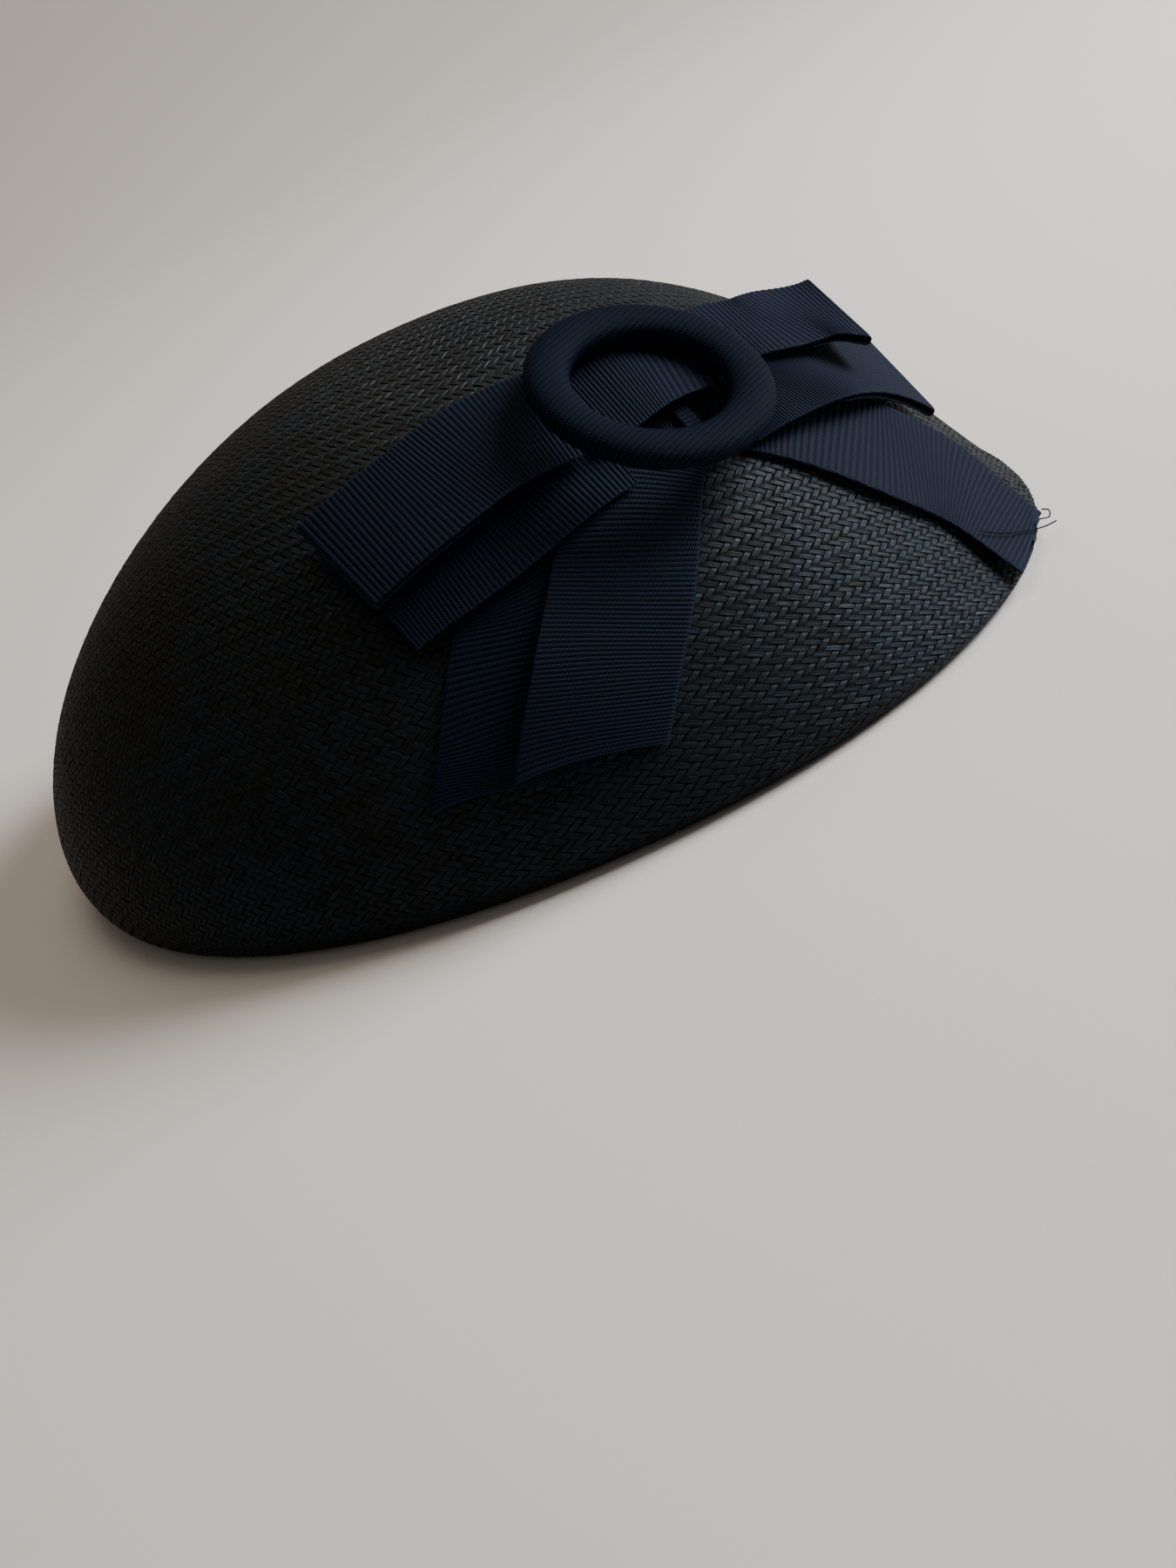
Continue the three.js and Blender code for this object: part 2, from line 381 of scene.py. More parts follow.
@dataclass(frozen=True)
class ClothFinish:
    """Corded cloth: ribs with fine threads across them.

    Attributes:
        name: Name of the material.
        dark: Colour between the ribs and threads, a painted shade in the grooves.
        pale: Colour on top of them.
        pitch: Pitch of ribs that the finish raises, and 0 where the mesh has them.
        thread: Pitch of the fine threads, in millimetres.
        slant: How far a fine thread leans for each millimetre along the cloth.
        roughness: Roughness of the thread.
        sheen: Strength of its plain reflection.
    """

    name: str
    dark: Colour
    pale: Colour
    pitch: float = 0.0
    thread: float = 0.62
    slant: float = 0.15
    roughness: float = 0.55
    sheen: float = 0.05

    def material(self) -> bpy.types.Material:
        """Colour and bump from the rib's height and the beads of thread along it, with painted shade
        darkening the colour in the grooves.
        """
        graph = Graph(self.name)
        across, along = graph.map("Cloth")
        if self.pitch > 0:
            rib = abs((along * (math.pi / self.pitch)).sine()) ** 0.7
        else:
            rib = graph.value("rib")
        lean = across + self.slant * along
        bead = abs((lean * (math.pi / self.thread)).sine()) ** 0.7
        fuzz = graph.noise(graph.together(across * 1.3, along * 3.1), 1.4, 3.0)
        worn = graph.value("worn")
        # Painted shade: the colour falls towards dark between ribs and between beads of thread, where the
        # grooves lie in shade.
        level = rib * (0.15 + 0.85 * bead) * (0.45 + 1.1 * fuzz) + 0.6 * worn * fuzz
        graph.feed("Base Color", graph.mix(level, self.dark, self.pale))
        graph.feed("Roughness", self.roughness + 0.18 * fuzz)
        height = rib * bead if self.pitch > 0 else bead
        graph.feed("Normal", graph.bump(height * 0.8 + fuzz * 0.2, 0.16, 0.9))
        graph.set(Specular_IOR_Level=self.sheen)
        return graph.material


# ---------------------------------------------------------------- crown


@dataclass(frozen=True)
class CrownForm:
    """The outside of the crown, as a height over an oval plan."""

    half_length: float
    half_width: float
    height: float
    plan_power: float = 2.13
    widest: tuple[float, float] = (7.5, 5.5)  # height of the widest line, and its fall to the front
    shoulder: tuple[float, float] = (2.28, 0.4)
    slope: tuple[float, float] = (1.29, -0.45)
    dent: tuple[float, float, float, float] = (2.0, -20.0, 1.4, 18.0)  # x, y, depth, radius
    rim_inset: float = 6.0
    rim_flat: float = 3.0

    @classmethod
    def from_frame(cls) -> "CrownForm":
        """The form in the size of the CAD crown."""
        low, high = (np.array(corner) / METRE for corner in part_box("crown"))
        half = 0.5 * (high - low)
        return cls(half_length=half[0], half_width=half[1], height=cls.apex(high[2]))

    @staticmethod
    def apex(top: float) -> float:
        """Height of the undented dome, a little over the top of the solid."""
        return round(2 * top) / 2 + 0.5

    def widest_height(self, x: Array) -> Array:
        """Height of the widest line, which falls evenly to the front."""
        return self.widest[0] - self.widest[1] * x / self.half_length

    def reach(self, x: Array, y: Array) -> Array:
        """How far out a plan point is, from 0 at the middle to 1 at the widest line."""
        power = self.plan_power
        total = np.abs(x / self.half_length) ** power + np.abs(y / self.half_width) ** power
        return np.minimum(1.0, total ** (1 / power))

    def level(self, x: Array, y: Array) -> Array:
        """Height over a plan point.

        Args:
            x: Places along the hat.
            y: Places across it.

        Returns:
            foot + (height - foot) (1 - reach^out)^(1/down), less a soft dent beside the apex.
        """
        forward = np.clip(x / self.half_length, -1, 1)
        foot = self.widest_height(x)
        out = self.shoulder[0] + self.shoulder[1] * forward
        down = self.slope[0] + self.slope[1] * forward
        dent_x, dent_y, depth, radius = self.dent
        dent = depth * np.exp(-((x - dent_x) ** 2 + (y - dent_y) ** 2) / radius**2)
        fall = np.maximum(1 - self.reach(x, y) ** out, 0.0) ** (1 / down)
        return foot + (self.height - foot) * fall - dent

    def point(self, x: Array, y: Array) -> Array:
        """The crown's point over a plan point."""
        return np.stack([x, y, self.level(x, y)], axis=-1)

    def normal(self, x: Array, y: Array) -> Array:
        """The crown's outward direction over a plan point, from its slopes."""
        step = 0.5
        slope_x = (self.level(x + step, y) - self.level(x - step, y)) / (2 * step)
        slope_y = (self.level(x, y + step) - self.level(x, y - step)) / (2 * step)
        return unit(np.stack([-slope_x, -slope_y, np.ones_like(slope_x)], axis=-1))

    def nearest(self, points: Array, x: Array, y: Array) -> tuple[Array, Array]:
        """The crown's points and normals nearest to points in space.

        Args:
            points: Points near the crown.
            x: First guess of their places along the hat.
            y: First guess across it.

        Returns:
            Points and normals, found by sliding along tangent planes.
        """
        for _ in range(6):
            normal = self.normal(x, y)
            away = points - self.point(x, y)
            away = away - np.sum(away * normal, axis=-1, keepdims=True) * normal
            x = x + away[..., 0]
            y = y + away[..., 1]
        return self.point(x, y), self.normal(x, y)

    def section(self, angle: Array, turn: Array) -> Array:
        """Points of the whole outside, down from the apex.

        Args:
            angle: Plan angles.
            turn: 0 at the apex, 1 at the widest line, 2 where the turned edge meets the table
                and 3 at the inner side of the flat rim.

        Returns:
            Points. Up to 1 the reach is sin(90 degrees times turn)^0.87. From 1 to 2 the wall
            turns under by a quarter of a round whose radii are the rim's inset and height.
        """
        c, s = np.cos(angle), np.sin(angle)
        power = self.plan_power
        radius = (np.abs(c) ** power + np.abs(s) ** power) ** (-1 / power)
        reach = np.sin(0.5 * math.pi * np.minimum(turn, 1)) ** 0.87
        dome = self.point(self.half_length * radius * reach * c, self.half_width * radius * reach * s)
        quarter = np.clip(turn - 1, 0, 1) * 0.5 * math.pi
        inset = self.rim_inset * (1 - np.cos(quarter)) + self.rim_flat * np.maximum(turn - 2, 0)
        under_x = (self.half_length - inset) * radius * c
        under_y = (self.half_width - inset) * radius * s
        under_z = self.widest_height(under_x) * (1 - np.sin(quarter))
        under = np.stack([under_x, under_y, under_z], axis=-1)
        return np.where((turn > 1)[..., None], under, dome)

    def section_normal(self, angle: Array, turn: Array) -> Array:
        """Outward directions on the section, from its own slopes."""
        step = 2e-3
        down = self.section(angle, turn + step) - self.section(angle, np.maximum(turn - step, 0))
        round_ = self.section(angle + step, turn) - self.section(angle - step, turn)
        return unit(np.cross(down, round_))


class Chart:
    """The crown's outside spread flat by its length from the apex.

    A place is a complex number: its angle is the plan angle, and its size is the length down
    the crown from the apex in units of SPREAD.
    """

    SPREAD = 150.0
    ANGLES = 360
    STEPS = 500
    LENGTHS = 700

    def __init__(self, form: CrownForm) -> None:
        """Measures the lengths down the crown at all angles."""
        self.form = form
        angle = np.linspace(-math.pi, math.pi, self.ANGLES + 1)
        turn = np.linspace(0, 3, 3 * self.STEPS + 1)
        points = form.section(angle[:, None], turn[None, :])
        steps = np.linalg.norm(np.diff(points, axis=1), axis=-1)
        runs = np.concatenate([np.zeros((len(angle), 1)), np.cumsum(steps, axis=1)], axis=1)
        self.longest = float(runs.max())
        lengths = np.linspace(0, self.longest, self.LENGTHS + 1)
        self.turns = np.stack([np.interp(lengths, run, turn) for run in runs])

    def turn(self, place: Array) -> Array:
        """How far down the section places lie, from the table of lengths."""
        column = (np.angle(place) + math.pi) / (2 * math.pi) * self.ANGLES
        row = np.minimum(np.abs(place) * self.SPREAD / self.longest, 1) * self.LENGTHS
        i = np.clip(column.astype(int), 0, self.ANGLES - 1)
        j = np.clip(row.astype(int), 0, self.LENGTHS - 1)
        a, b = column - i, row - j
        near = self.turns[i, j] * (1 - a) + self.turns[i + 1, j] * a
        far = self.turns[i, j + 1] * (1 - a) + self.turns[i + 1, j + 1] * a
        return near * (1 - b) + far * b

    def point(self, place: Array) -> Array:
        """Points of the crown at places of the chart."""
        return self.form.section(np.angle(place), self.turn(place))

    def normal(self, place: Array) -> Array:
        """Outward directions at places of the chart, from its own slopes."""
        step = 3e-3
        along = self.point(place + step) - self.point(place - step)
        beside = self.point(place + 1j * step) - self.point(place - 1j * step)
        return unit(np.cross(along, beside))


@dataclass(frozen=True)
class TwillNet:
    """Where the strands of the plait cross on the chart of the crown.

    The crossing number is one complex number w: its real part counts the strands of one set and
    its imaginary part those of the other. With z the place on the chart and c its mirror image,
    w = even z + slant c + swell z^2 + draw z c + twist c^2 + pinch z^2 c + reach z c^2.
    The first term is an even net, and the others are what the blocking stretched.
    """

    even: complex = -65 + 65j
    slant: complex = -12 + 4j
    swell: complex = 13 + 10j
    draw: complex = 10 + 17j
    twist: complex = 2 - 4j
    pinch: complex = 5 + 2j
    reach: complex = 8 - 9j
    count: int = 145  # the furthest crossing number that is tried

    def forward(self, z: Array) -> Array:
        """Crossing numbers at chart places."""
        c = np.conj(z)
        return (
            self.even * z + self.slant * c + self.swell * z**2 + self.draw * z * c
            + self.twist * c**2 + self.pinch * z**2 * c + self.reach * z * c**2
        )

    def place(self, w: Array) -> Array:
        """Chart places of crossing numbers, by Newton's steps in the plane."""
        z = w / self.even
        for _ in range(18):
            c = np.conj(z)
            by_z = self.even + 2 * self.swell * z + self.draw * c + 2 * self.pinch * z * c
            by_z = by_z + self.reach * c**2
            by_c = self.slant + self.draw * z + 2 * self.twist * c + self.pinch * z**2
            by_c = by_c + 2 * self.reach * z * c
            rest = w - self.forward(z)
            spread = np.abs(by_z) ** 2 - np.abs(by_c) ** 2
            step = (np.conj(by_z) * rest - by_c * np.conj(rest)) / spread
            z = z + step * np.minimum(1, 0.25 / np.maximum(np.abs(step), 1e-9))
        return z


class Strand(Enum):
    """The two sets of strands."""

    LEVEL = "level"
    UPRIGHT = "upright"


class Side(Enum):
    """Where strands lie on the crown."""

    FRONT = "front"
    REAR = "rear"
    INSIDE = "inside"


@dataclass
class Crown:
    """Shell and plaited strands of the crown."""

    form: CrownForm
    net: TwillNet = TwillNet()
    wall: float = 2.2
    sink: float = 0.5  # the shell's depth under the strands
    bow: float = 0.22  # rise of a strand between its dips
    half_run: float = 1.3  # half a float's length, in cells
    half_wide: float = 0.49
    thick: float = 0.26  # fall of a strand's edges
    tilt: float = 0.035  # how much a strand leans, and shifts sideways, by chance
    unevenness: float = 0.02  # how much it lies higher or lower by chance
    segments: int = 180

    def __post_init__(self) -> None:
        """Spreads the crown flat."""
        self.chart = Chart(self.form)

    def shell(self) -> Piece:
        """The closed wall under the strands, coloured dark as painted shade in the gaps between them.

        Returns:
            A shell from the apex outside, round the turned edge and back to the apex inside.
        """
        outer = np.concatenate([np.linspace(1e-3, 0.98, 48), np.linspace(1, 3, 13)])[:, None]
        inner = np.linspace(0.975, 1e-3, 48)[:, None]
        angle = (np.arange(self.segments) / self.segments * 2 * math.pi)[None, :]
        out_points = self.form.section(angle, outer)
        out_points = out_points - self.sink * self.form.section_normal(angle, outer)
        in_points = self.form.section(angle, inner)
        in_points = in_points - (self.wall - self.sink) * self.form.section_normal(angle, inner)
        points = np.concatenate([out_points, in_points], axis=0)
        points[..., 2] = np.maximum(points[..., 2], 0.0)
        rows, columns = points.shape[:2]
        quads = grid_quads(rows, columns, closed=True)
        u, v = np.meshgrid(np.linspace(0, 1, columns), np.linspace(0, 1, rows))
        flat = np.stack([u, v], axis=-1).reshape(-1, 2)
        return Piece("crown_shell", points.reshape(-1, 3), quads, Slot.STRAW, {"Cloth": flat})

    def floats(self, strand: Strand) -> tuple[Array, Array]:
        """Crossing numbers at the middle of each float of one set.

        Args:
            strand: The set.

        Returns:
            Middles, and the direction of the float on the net.
        """
        count = np.arange(-self.net.count, self.net.count + 1)
        own, other = np.meshgrid(count, count, indexing="ij")
        if strand is Strand.LEVEL:
            hit = (own + other) % 4 == 0
            middle = own[hit] + 1j * (other[hit] + 0.5)
            return middle, np.full(middle.shape, 1j)
        hit = (own + other) % 4 == 2
        middle = (other[hit] + 0.5) + 1j * own[hit]
        return middle, np.full(middle.shape, 1.0 + 0j)

    ALONG = {False: (-1, -0.74, -0.36, 0.36, 0.74, 1), True: (-1, -0.4, 0.4, 1)}
    ACROSS = {False: (-1, -0.74, 0.74, 1), True: (-1, 1)}

    def strands(self, strand: Strand, where: Side) -> Piece:
        """Flat floats of one set as one mesh.

        Args:
            strand: The set.
            where: The part of the crown that they lie on.

        Returns:
            Floats whose height is bow (1 - |t half_run|^4) along, and less by thick at their
            edges. Each one leans and shifts a little by its own chance.
        """
        inside = where is Side.INSIDE
        middle, direction = self.floats(strand)
        if inside:
            middle = middle + 2 * direction
        place = self.net.place(middle)
        found = np.abs(self.net.forward(place) - middle) < 0.01
        keep = found & (np.abs(place) < 1.3) & (self.chart.turn(place) < (0.97 if inside else 1.92))
        if not inside:
            keep &= (place.imag < 0) if where is Side.FRONT else (place.imag >= 0)
        middle, direction = middle[keep], direction[keep]
        count = len(middle)
        rng = np.random.default_rng(7 if strand is Strand.LEVEL else 11)
        tint = np.clip(rng.normal(0.5, 0.22, count), 0, 1)
        tilt, shift, lift = rng.normal(0, 1, (3, count))[..., None, None]
        along = np.array(self.ALONG[inside])
        across = np.array(self.ACROSS[inside])
        t, s = np.meshgrid(along, across, indexing="ij")
        side = direction * -1j if strand is Strand.LEVEL else direction * 1j
        w = middle[:, None, None] + direction[:, None, None] * self.half_run * t
        w = w + side[:, None, None] * (self.half_wide * s + self.tilt * shift)
        z = self.net.place(w)
        rise = self.bow * (1 - np.abs(t * self.half_run) ** 4) - self.thick * np.abs(s) ** 8
        rise = rise + self.tilt * tilt * s + self.unevenness * lift
        sign = -1 if inside else 1
        base = -self.wall if inside else -0.12
        normal = self.chart.normal(z)
        points = self.chart.point(z) + (base + sign * rise)[..., None] * normal
        points[..., 2] = np.maximum(points[..., 2], 0.02)
        quads = grid_quads(len(along), len(across))
        flips = np.mean(np.sum(self.facing(points) * normal[:, 0, 0], axis=-1)) * sign < 0
        if flips:
            quads = quads[:, ::-1]
        size = t.size
        quads = (quads[None] + size * np.arange(count)[:, None, None]).reshape(-1, 4)
        weave = np.broadcast_to(np.stack([s, t], axis=-1), (count, *s.shape, 2))
        side_tiles = math.ceil(math.sqrt(count))
        tile = np.stack([np.arange(count) % side_tiles, np.arange(count) // side_tiles], axis=-1)
        atlas = (tile[:, None, None] + 0.5 + 0.42 * np.stack([s, t], axis=-1)[None]) / side_tiles
        return Piece(
            f"{strand.value}_strands_{where.value}",
            points.reshape(-1, 3),
            quads,
            Slot.STRAW,
            {"Weave": weave.reshape(-1, 2), "OFBake": atlas.reshape(-1, 2)},
            # low is 0 at the apex and 1 at the table, and drives the painted cool light tint of the straw.
            {"tint": np.repeat(tint, size), "low": 1 - points[..., 2].ravel() / self.form.height},
            smooth=False,
        )

    @staticmethod
    def facing(points: Array) -> Array:
        """Direction of each float's first quad."""
        return np.cross(points[:, 1, 0] - points[:, 0, 0], points[:, 0, 1] - points[:, 0, 0])

    def build(self) -> None:
        """Makes the shell and all strands."""
        self.shell().build(ShellFinish().material(), ("crown",))
        straw = StrawFinish().material()
        for strand in Strand:
            for where in Side:
                self.strands(strand, where).build(straw)


# ---------------------------------------------------------------- ribbons


class Held(Enum):
    """How a ribbon is held."""

    FOLDED = "folded"
    LAID = "laid"
    STRETCHED = "stretched"
    GATHERED = "gathered"


RIBBON_WIDTH = 32.0
LEAST_FLAT = 10.0


@dataclass(frozen=True)
class Ribbon:
    """One ribbon on its route over the crown.

    Attributes:
        name: The CAD node that it stands for.
        stations: Rows of place on the plan, lift off the straw, roll in degrees, gap down to
            the layer that returns under it, and width.
        held: How it is held; not used.
        rests_on: What it lies on; not used.
        hug: 1 where its edges follow the straw, and 0 where it stays flat across.
        back: Share of the run that the returning layer covers.
        cut: How much shorter one edge is.
        spread: How much further the far edge reaches where the ring hides it.
        rib: Pitch of its ribs.
    """

    name: str
    stations: tuple[tuple[float, ...], ...]
    held: Held
    rests_on: tuple[str, ...]
    hug: float = 0.0
    back: float = 0.0
    cut: float = 0.0
    spread: float = 0.0
    rib: float = 1.25


W = RIBBON_WIDTH
RIBBONS = (
    Ribbon(
        "left_upper_loop",
        (
            (25.1, -60.8, 4.25, 3, 1.6, 0.95 * W),
            (7, -64.4, 5.5, 4, 1.5, W),
            (-11.2, -69.6, 6.5, 4.6, 1.6, W),
            (-32, -73.3, 6.3, 3, 1.7, W),
        ),
        Held.FOLDED, ("left_lower_loop",), back=0.43,
    ),
    Ribbon(
        "left_lower_loop",
        (
            (31, -67.7, 2.35, 1, 0, 0.93 * W),
            (-0.8, -78.2, 2.8, 2, 0, W),
            (-28.4, -82.2, 2.5, 1, 0, W),
        ),
        Held.FOLDED, ("crown", "rear_tail", "front_tail"), hug=0.5,
    ),
    Ribbon(
        "front_tail",
        (
            (38.4, -69, 0.9, 0, 0, W),
            (24.4, -91.3, 1.7, -2, 0, W),
            (10.6, -105.7, 3.4, -8, 0, W),
            (-2.1, -115.9, 3, -7, 0, W),
        ),
        Held.LAID, ("crown", "rear_tail"), hug=1, cut=15,
    ),
    Ribbon(
        "rear_tail",
        (
            (3, -78.5, 0.8, 0, 0, 0.3 * W),
            (1, -94.7, 0.8, 0, 0, W),
            (-13.2, -109, 0.85, 0, 0, W),
            (-21, -114.9, 0.85, 0, 0, W),
        ),
        Held.LAID, ("crown",), hug=1, cut=19,
    ),
    Ribbon(
        "right_upper_loop",
        (
            (60, -42.5, 4.2, 1, 1.5, 0.64 * W),
            (67.1, -38, 5.1, -2, 1.5, 0.74 * W),
            (75, -33.8, 7.1, -5, 1.5, 0.77 * W),
            (82.8, -27.7, 9.7, -8, 1.6, 0.86 * W),
            (89.3, -24.5, 13.2, -3, 2.2, 0.97 * W),
        ),
        Held.FOLDED, ("crown", "right_middle_loop"), back=0.4,
    ),
    Ribbon(
        "right_middle_loop",
        (
            (59, -62.7, 3, -3, 1.5, 0.62 * W),
            (71, -54, 4.5, -5, 1.4, 0.64 * W),
            (82.6, -41.4, 6, -5, 1.4, 0.9 * W),
            (104.8, -17.8, 5.2, 4, 2, W),
        ),
        Held.FOLDED, ("crown", "front_band"), back=0.42,
    ),
    Ribbon(
        "front_band",
        (
            (35.5, -60.5, 2, 0, 0, 0.8 * W),
            (46.5, -58.5, 1.5, 1, 0, 0.9 * W),
            (67.2, -55.8, 0.9, 2, 0, W),
            (89.7, -56.1, 1.7, 2, 0, W),
            (104.9, -53.9, 1.9, 4, 0, W),
            (116.2, -58.8, 2.4, 0, 0, W),
        ),
        Held.STRETCHED, ("crown",), cut=-2.8,
    ),
    Ribbon(
        "centre_ribbon",
        (
            (27.6, -60.3, 4.4, -3, 0, 0.9 * W),
            (33.8, -58.5, 4.5, -4.5, 0, 0.93 * W),
            (40.5, -56.5, 5.4, -5, 0, 0.85 * W),
            (47, -54.9, 5.6, -6, 0, 0.7 * W),
            (58, -52.8, 5.4, -6, 0, 0.4 * W),
        ),
        Held.GATHERED, ("ring_buckle",), spread=3.0,
    ),
    Ribbon(
        "narrow_strip",
        (
            (48.6, -59, 3.1, 0, 0, 4),
            (53.3, -73, 3.2, 0, 0, 4),
        ),
        Held.STRETCHED, ("ring_buckle",),
    ),
)


class Cloth:
    """Lays a ribbon over the crown as a ribbed skin."""

    SIDES = np.array([-1, -0.985, -0.94, -0.7, -0.35, 0, 0.35, 0.7, 0.94, 0.985, 1])
    EDGE = np.array([0.25, 0.8, 1, 1, 1, 1, 1, 1, 1, 0.8, 0.25])
    STEPS = 8  # rows of points in one rib
    FOLD_ROWS = 8

    def __init__(self, form: CrownForm, ribbon: Ribbon) -> None:
        """Keeps the crown and the ribbon, and measures its run."""
        self.form = form
        self.ribbon = ribbon
        self.table = np.array(ribbon.stations, dtype=float)
        share = np.linspace(0, 1, 200)
        middle = self.centre(share)
        steps = np.linalg.norm(np.diff(middle, axis=0), axis=1)
        self.run = float(steps.sum())
        self.straight = float(np.linalg.norm(middle[-1] - middle[0]))

    def station(self, share: Array) -> Array:
        """Values of the table at shares of the run."""
        return through(self.table, share)

    def centre(self, share: Array) -> Array:
        """Middle line: the crown's point raised by the lift along its normal."""
        x, y, lift = np.moveaxis(self.station(share)[..., :3], -1, 0)
        return self.form.point(x, y) + lift[..., None] * self.form.normal(x, y)

    def surface(self, share: Array, side: Array) -> tuple[Array, Array, Array, Array]:
        """Middle surface of the ribbon.

        Args:
            share: How far along the run, from 0 to 1.
            side: How far across, from -1 to 1.

        Returns:
            Points, normals, directions of the run and gaps down to the returning layer. A point
            is the middle line moved across by half the width times side, and drawn by hug
            towards the crown's nearest point raised by the same lift.
        """
        ribbon = self.ribbon
        trimmed = share * (1 - ribbon.cut * 0.5 * (1 + side) / (1.06 * self.straight))
        x, y, lift, roll, gap, width = np.moveaxis(self.station(trimmed), -1, 0)
        step = 0.01
        along = unit(self.centre(trimmed + step) - self.centre(trimmed - step))
        across = unit(np.cross(self.form.normal(x, y), along))
        across = turned(across, along, roll)
        normal = np.cross(along, across)
        reach = 0.5 * width * side + ribbon.spread * np.maximum(side, 0)
        points = self.centre(trimmed) + reach[..., None] * across
        if ribbon.hug > 0:
            seat, seat_normal = self.form.nearest(points, x, y)
            raised = lift + reach * np.sin(np.radians(roll))
            seated = seat + raised[..., None] * seat_normal
            points = points + ribbon.hug * (seated - points)
            normal = unit(normal + ribbon.hug * (seat_normal - normal))
        return points, normal, along, gap

    def rows(self) -> tuple[Array, Array, Array]:
        """Rows from the start to the fold, round the fold and back under.

        Returns:
            Share of the run, turn from the upper layer to the lower, and length along the cloth.
        """
        ribbon = self.ribbon
        ribs = max(6, round(self.run / ribbon.rib))
        share = np.linspace(0, 1, ribs * self.STEPS + 1)
        turn = np.zeros_like(share)
        length = share * self.run
        if ribbon.back > 0:
            fold = np.arange(1, self.FOLD_ROWS) / self.FOLD_ROWS
            back = np.linspace(1, 1 - ribbon.back, int(ribs * ribbon.back) * self.STEPS + 1)
            share = np.concatenate([share, np.ones_like(fold), back])
            turn = np.concatenate([turn, math.pi * fold, np.full_like(back, math.pi)])
            bend = 0.5 * math.pi * self.table[-1, 4]
            after = self.run + bend + (1 - back) * self.run
            length = np.concatenate([length, self.run + bend * fold, after])
        return share, turn, length

    def piece(self) -> Piece:
        """The ribbon as one closed skin with raised ribs."""
        ribbon = self.ribbon
        share, turn, length = self.rows()
        sides = np.concatenate([self.SIDES, self.SIDES[::-1]])
        upper = np.concatenate([np.ones(len(self.SIDES)), -np.ones(len(self.SIDES))])
        edge = np.concatenate([self.EDGE, self.EDGE[::-1]])
        grid_share, grid_side = np.meshgrid(share, sides, indexing="ij")
        points, normal, along, gap = self.surface(grid_share, grid_side)
        turn = turn[:, None]
        rib = np.abs(np.cos(math.pi * length / ribbon.rib)) ** 0.6
        rib = np.broadcast_to(rib[:, None], grid_share.shape)
        worn = np.maximum(np.abs(grid_side) > 0.97, (grid_share > 0.985) & (ribbon.cut != 0)) * 1.0
        outward = np.cos(turn)[..., None] * normal + np.sin(turn)[..., None] * along
        points = points + (0.5 * gap * np.sin(turn))[..., None] * along
        points = points - (0.5 * gap * (1 - np.cos(turn)))[..., None] * normal
        thick = (0.10 + 0.32 * rib) * edge * upper
        points = points + thick[..., None] * outward
        rows, around = grid_share.shape
        quads = grid_quads(rows, around, closed=True)
        half = len(self.SIDES)
        k = np.arange(half - 1)
        cap = np.stack([k, k + 1, around - 2 - k, around - 1 - k], axis=-1)
        quads = np.concatenate([quads[:, ::-1], cap, (cap + (rows - 1) * around)[:, ::-1]])
        width = self.table[:, 5].max()
        cloth = np.stack(
            [0.5 * width * grid_side, np.broadcast_to(length[:, None], grid_share.shape)], axis=-1
        )
        return Piece(
            f"{ribbon.name}_cloth",
            points.reshape(-1, 3),
            quads,
            Slot.RIBBON,
            {"Cloth": cloth.reshape(-1, 2)},
            {"rib": rib.reshape(-1), "worn": worn.reshape(-1)},
        )

    def flat(self) -> tuple[float, float]:
        """Declared width and length in metres, with a width below LEAST_FLAT raised to it."""
        _, _, length = self.rows()
        width = max(LEAST_FLAT, float(self.table[:, 5].max()))
        return width * METRE, float(length[-1]) * METRE

    def build(self, material: bpy.types.Material) -> bpy.types.Object:
        obj = self.piece().build(material, (self.ribbon.name,))
        width, length = self.flat()
        return obj


# ---------------------------------------------------------------- ring


